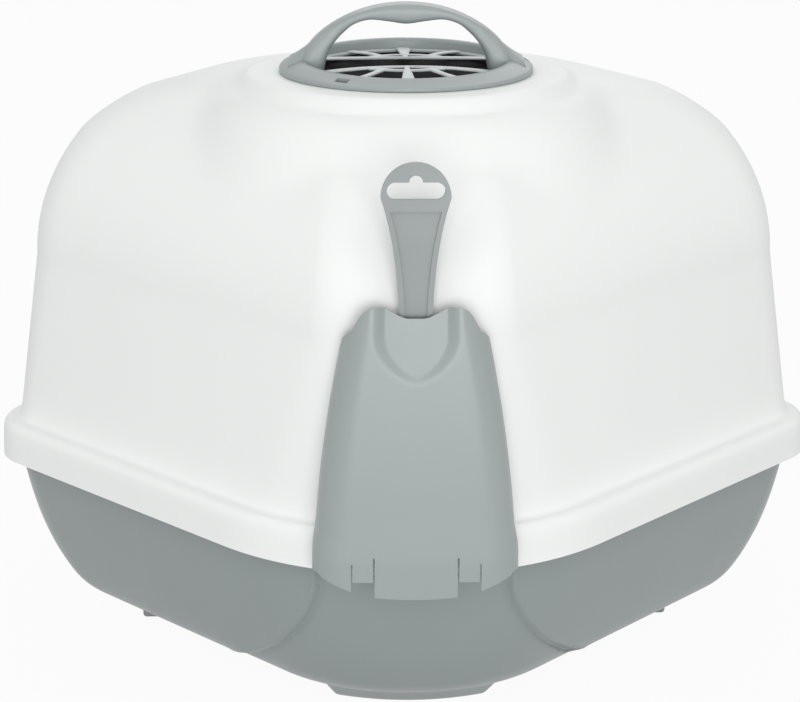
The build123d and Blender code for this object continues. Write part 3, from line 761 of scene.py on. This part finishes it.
def make_holder():
    """The holder's skin, thickened outwards."""
    columns, levels = 96, 110
    rows = [[holder_point(-1 + 2 * c / columns, r / levels) for c in range(columns + 1)]
            for r in range(levels + 1)]
    obj = grid_mesh("scoop_pouch", rows, False)
    thick = obj.modifiers.new("thick", "SOLIDIFY")
    thick.thickness = holder_wall
    thick.offset = 1
    return obj


def box_piece(name, low, high):
    """A box between two corners given in millimetres from the rear point."""
    mesh = bmesh.new()
    bmesh.ops.create_cube(mesh, size=1)
    size = Vector(high) - Vector(low)
    middle = (Vector(high) + Vector(low)) / 2
    for vert in mesh.verts:
        vert.co = Vector([vert.co[k] * size[k] + middle[k] for k in range(3)]) * MM
        vert.co.y += rear_point_y
    data = bpy.data.meshes.new(name)
    mesh.to_mesh(data)
    mesh.free()
    obj = bpy.data.objects.new(name, data)
    bpy.context.scene.collection.objects.link(obj)
    return obj


# Materials

def new_material(name, colour, roughness, shine=0.5):
    """A new material of one colour, and its shader."""
    material = bpy.data.materials.new(name)
    material.use_nodes = True
    shader = material.node_tree.nodes["Principled BSDF"]
    shader.inputs["Base Color"].default_value = (*colour, 1)
    shader.inputs["Roughness"].default_value = roughness
    shader.inputs["Specular IOR Level"].default_value = shine
    return material, shader


def add_noise(material, scale, detail):
    """A noise texture in the object's own coordinates."""
    nodes, links = material.node_tree.nodes, material.node_tree.links
    place = nodes.new("ShaderNodeTexCoord")
    noise = nodes.new("ShaderNodeTexNoise")
    noise.inputs["Scale"].default_value = scale
    noise.inputs["Detail"].default_value = detail
    links.new(place.outputs["Object"], noise.inputs["Vector"])
    return noise


def moulded_plastic(name, colour, roughness, grain_scale, grain_strength, tint, shine=0.5):
    """Moulded plastic: a faint uneven tone, uneven gloss and a fine surface grain."""
    material, shader = new_material(name, colour, roughness, shine)
    nodes, links = material.node_tree.nodes, material.node_tree.links
    cloud = add_noise(material, 9.0, 3.0)
    tone = nodes.new("ShaderNodeMix")
    tone.data_type = "RGBA"
    tone.inputs["A"].default_value = (*[c * (1 - tint) for c in colour], 1)
    tone.inputs["B"].default_value = (*[min(1.0, c * (1 + tint)) for c in colour], 1)
    links.new(cloud.outputs["Fac"], tone.inputs["Factor"])
    links.new(tone.outputs["Result"], shader.inputs["Base Color"])
    gloss = nodes.new("ShaderNodeMapRange")
    gloss.inputs["To Min"].default_value = roughness - 0.05
    gloss.inputs["To Max"].default_value = roughness + 0.07
    patches = add_noise(material, 30.0, 5.0)
    links.new(patches.outputs["Fac"], gloss.inputs["Value"])
    links.new(gloss.outputs["Result"], shader.inputs["Roughness"])
    grain = add_noise(material, grain_scale, 3.0)
    bump = nodes.new("ShaderNodeBump")
    bump.inputs["Strength"].default_value = grain_strength
    bump.inputs["Distance"].default_value = 0.0002
    links.new(grain.outputs["Fac"], bump.inputs["Height"])
    links.new(bump.outputs["Normal"], shader.inputs["Normal"])
    return material


def carbon_foam():
    """Black open foam, with cells in its surface and painted shade in the cells' pits."""
    material, shader = new_material("charcoal_foam", (0.02, 0.02, 0.022), 0.9, shine=0.15)
    nodes, links = material.node_tree.nodes, material.node_tree.links
    place = nodes.new("ShaderNodeTexCoord")
    cells = nodes.new("ShaderNodeTexVoronoi")
    cells.inputs["Scale"].default_value = 700.0
    links.new(place.outputs["Object"], cells.inputs["Vector"])
    bump = nodes.new("ShaderNodeBump")
    bump.inputs["Distance"].default_value = 0.0008
    links.new(cells.outputs["Distance"], bump.inputs["Height"])
    links.new(bump.outputs["Normal"], shader.inputs["Normal"])
    # Painted shade: the tone darkens where each cell dips to its pit
    pit_shade = nodes.new("ShaderNodeMix")
    pit_shade.data_type = "RGBA"
    pit_shade.inputs["A"].default_value = (0.004, 0.004, 0.005, 1)
    pit_shade.inputs["B"].default_value = (0.028, 0.028, 0.03, 1)
    links.new(cells.outputs["Distance"], pit_shade.inputs["Factor"])
    links.new(pit_shade.outputs["Result"], shader.inputs["Base Color"])
    return material


def clear_plastic():
    """Clear plastic with a slight uneven haze."""
    material, shader = new_material("clear_plastic", (0.78, 0.83, 0.84), 0.12)
    shader.inputs["Transmission Weight"].default_value = 0.85
    shader.inputs["IOR"].default_value = 1.46
    nodes, links = material.node_tree.nodes, material.node_tree.links
    haze = add_noise(material, 25.0, 4.0)
    gloss = nodes.new("ShaderNodeMapRange")
    gloss.inputs["To Min"].default_value = 0.08
    gloss.inputs["To Max"].default_value = 0.24
    links.new(haze.outputs["Fac"], gloss.inputs["Value"])
    links.new(gloss.outputs["Result"], shader.inputs["Roughness"])
    return material


white = moulded_plastic("white_plastic", (0.85, 0.865, 0.855), 0.5, 900.0, 0.02, 0.006, shine=0.35)
tray_grey = moulded_plastic("tray_grey", (0.275, 0.31, 0.31), 0.33, 1200.0, 0.12, 0.02)
grey = moulded_plastic("grey_plastic", (0.315, 0.35, 0.35), 0.36, 1200.0, 0.12, 0.02)
scoop_grey = moulded_plastic("scoop_grey", (0.23, 0.256, 0.256), 0.36, 1200.0, 0.12, 0.02)
light_grey = moulded_plastic("light_grey_plastic", (0.56, 0.6, 0.6), 0.36, 1200.0, 0.1, 0.02)
# Dark grey of the filter tray's own plastic; on the vent ring the same material is painted shade
dark_grey = moulded_plastic("dark_grey_plastic_and_painted_shade", (0.025, 0.028, 0.028), 0.5, 1200.0, 0.1, 0.02, shine=0.2)
foam = carbon_foam()
clear = clear_plastic()

node_materials = {
    "tray": tray_grey, "vent_handle": grey, "vent_grille": light_grey, "filter_tray": dark_grey,
    "charcoal_filter": foam, "entrance_frame": grey, "flap": clear, "flap_pins": light_grey,
    "latch_right": grey, "latch_left": grey, "latch_pins": light_grey, "scoop": scoop_grey,
    "scoop_holder": grey, "hood": white,
}


def dress_nodes():
    """Give every CAD node that stays its own procedural material."""
    for name, obj in frame["nodes"].items():
        for top in (obj if isinstance(obj, (list, tuple)) else [obj]):
            for part in [top] + list(top.children_recursive):
                if part.type == "MESH":
                    if not part.material_slots:
                        part.data.materials.append(node_materials[name])
                    for place in part.material_slots:
                        place.material = node_materials[name]


# Camera, floor and light

def make_camera():
    """The photograph's viewpoint: behind the rear corner, looking down a little."""
    data = bpy.data.cameras.new("camera")
    camera = bpy.data.objects.new("camera", data)
    bpy.context.scene.collection.objects.link(camera)
    pixels = 800
    focal_pixels = 2092
    centre_pixel = 382.5
    data.sensor_width = 36
    data.lens = 36 * focal_pixels / pixels
    data.shift_x = (pixels / 2 - centre_pixel) / pixels
    tilt, yaw = radians(17.3), radians(-1.1)
    right = Vector((cos(yaw), sin(yaw), 0))
    ahead = Vector((-sin(yaw) * cos(tilt), cos(yaw) * cos(tilt), -sin(tilt)))
    up = right.cross(ahead)
    turn = Matrix((right, up, -ahead)).transposed().to_4x4()
    place = Vector((-0.042, rear_point_y - 1.090, 0.6235))
    camera.matrix_world = Matrix.Translation(place) @ turn
    data.clip_start = 0.05
    bpy.context.scene.camera = camera


def background_material(name, grey_level, camera_share):
    """A pale matt surface that the camera, gloss and clear pieces see as nearly white."""
    material = bpy.data.materials.new(name)
    material.use_nodes = True
    nodes, links = material.node_tree.nodes, material.node_tree.links
    nodes.clear()
    matt = nodes.new("ShaderNodeBsdfDiffuse")
    matt.inputs["Color"].default_value = (grey_level, grey_level, grey_level, 1)
    glow = nodes.new("ShaderNodeEmission")
    glow.inputs["Color"].default_value = (1, 1, 1, 1)
    path = nodes.new("ShaderNodeLightPath")
    either = nodes.new("ShaderNodeMath")
    either.operation = "MAXIMUM"
    links.new(path.outputs["Is Camera Ray"], either.inputs[0])
    links.new(path.outputs["Is Transmission Ray"], either.inputs[1])
    both = nodes.new("ShaderNodeMath")
    both.operation = "MAXIMUM"
    links.new(either.outputs[0], both.inputs[0])
    links.new(path.outputs["Is Glossy Ray"], both.inputs[1])
    share = nodes.new("ShaderNodeMath")
    share.operation = "MULTIPLY"
    share.inputs[1].default_value = camera_share
    links.new(both.outputs[0], share.inputs[0])
    mix = nodes.new("ShaderNodeMixShader")
    out = nodes.new("ShaderNodeOutputMaterial")
    links.new(share.outputs[0], mix.inputs["Fac"])
    links.new(matt.outputs[0], mix.inputs[1])
    links.new(glow.outputs[0], mix.inputs[2])
    links.new(mix.outputs[0], out.inputs["Surface"])
    return material


def make_floor():
    """A wide plain floor, six metres to each side."""
    half = 6.0
    rows = [[Vector((-half, -half, 0)), Vector((half, -half, 0))],
            [Vector((-half, half, 0)), Vector((half, half, 0))]]
    floor = grid_mesh("floor", rows, False)
    floor.data.materials.append(background_material("floor_white", 0.5, 0.95))


def make_light():
    """An even pale world and five soft lamps, all aimed at the middle of the box."""
    target = Vector((0, 0, 0.2))
    scene = bpy.context.scene
    world = bpy.data.worlds.new("world")
    scene.world = world
    world.use_nodes = True
    nodes, links = world.node_tree.nodes, world.node_tree.links
    background = nodes["Background"]
    path = nodes.new("ShaderNodeLightPath")
    strength = nodes.new("ShaderNodeMapRange")
    strength.inputs["To Min"].default_value = 0.75
    strength.inputs["To Max"].default_value = 1.0
    links.new(path.outputs["Is Camera Ray"], strength.inputs["Value"])
    links.new(strength.outputs["Result"], background.inputs["Strength"])
    background.inputs["Color"].default_value = (1, 1, 1, 1)
    for name, place, width, height, power in (
            ("top", (0.1, -0.4, 2.4), 1.8, 1.8, 1.5), ("rear", (0.1, -2.4, 0.45), 1.6, 0.8, 22),
            ("rear_left", (-1.9, -1.2, 2.0), 1.4, 1.4, 5), ("rear_right", (1.9, -1.2, 2.0), 1.4, 1.4, 4),
            ("front", (0.3, 2.2, 1.6), 1.6, 1.6, 8)):
        data = bpy.data.lights.new(name, "AREA")
        data.shape = "RECTANGLE"
        data.size = width
        data.size_y = height
        data.energy = power
        lamp = bpy.data.objects.new(name, data)
        lamp.location = place
        lamp.rotation_euler = (target - Vector(place)).to_track_quat("-Z", "Y").to_euler()
        scene.collection.objects.link(lamp)
    scene.view_settings.view_transform = "Standard"


# Build and dress the part

make_camera()
make_floor()
make_light()
dress_nodes()
hood = make_hood()
cut(hood, entry_cutter())
hood.data.materials.clear()
hood.data.materials.append(white)
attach(hood, "hood_shell")
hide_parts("hood")

holder = make_holder()
settle(holder)
# Two notches in the holder's lower edge, each between two thin slits that run further up
for side in (-1, 1):
    for low_x, high_x, high_z in ((24.9, 38.6, 122.6), (24.7, 25.6, 138), (37.9, 38.8, 134)):
        x = sorted((side * low_x, side * high_x))
        cut(holder, box_piece("notch_cutter", (x[0], 40, 100), (x[1], 66, high_z)))
holder.data.materials.append(grey)
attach(holder, "hood_shell")
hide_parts("scoop_holder")

for side in (-1, 1):
    for end in (-1, 1):
        ear = make_latch_ear(side, end)
        ear.data.materials.append(white)
        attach(ear, "hood_shell")

tray = make_tray()
tray.data.materials.append(tray_grey)
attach(tray, "base")
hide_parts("tray")
feet = [make_rear_foot()]
for side in (-1, 1):
    for place, x, y in (("side", (152, 186), (277, 311)), ("front", (70, 110), (403, 429))):
        low_x, high_x = sorted((side * x[0], side * x[1]))
        name = "foot_" + place + ("_left" if side < 0 else "_right")
        foot = box_piece(name, (low_x, y[0], 0), (high_x, y[1], 15))
        feet.append(round_edges(foot, 2.5 * MM, 4, 30))
for foot in feet:
    foot.data.materials.append(tray_grey)
    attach(foot, "base")

cover = make_vent_cover()
cover.data.materials.append(grey)
# The cover's second material is painted shade on the ring's inner wall and the windows' floors
cover.data.materials.append(dark_grey)
paint_inside_shade(cover)
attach(cover, "vent_cover")
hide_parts("vent_handle")
grille = make_grille()
grille.data.materials.append(light_grey)
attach(grille, "vent_cover")
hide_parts("vent_grille")
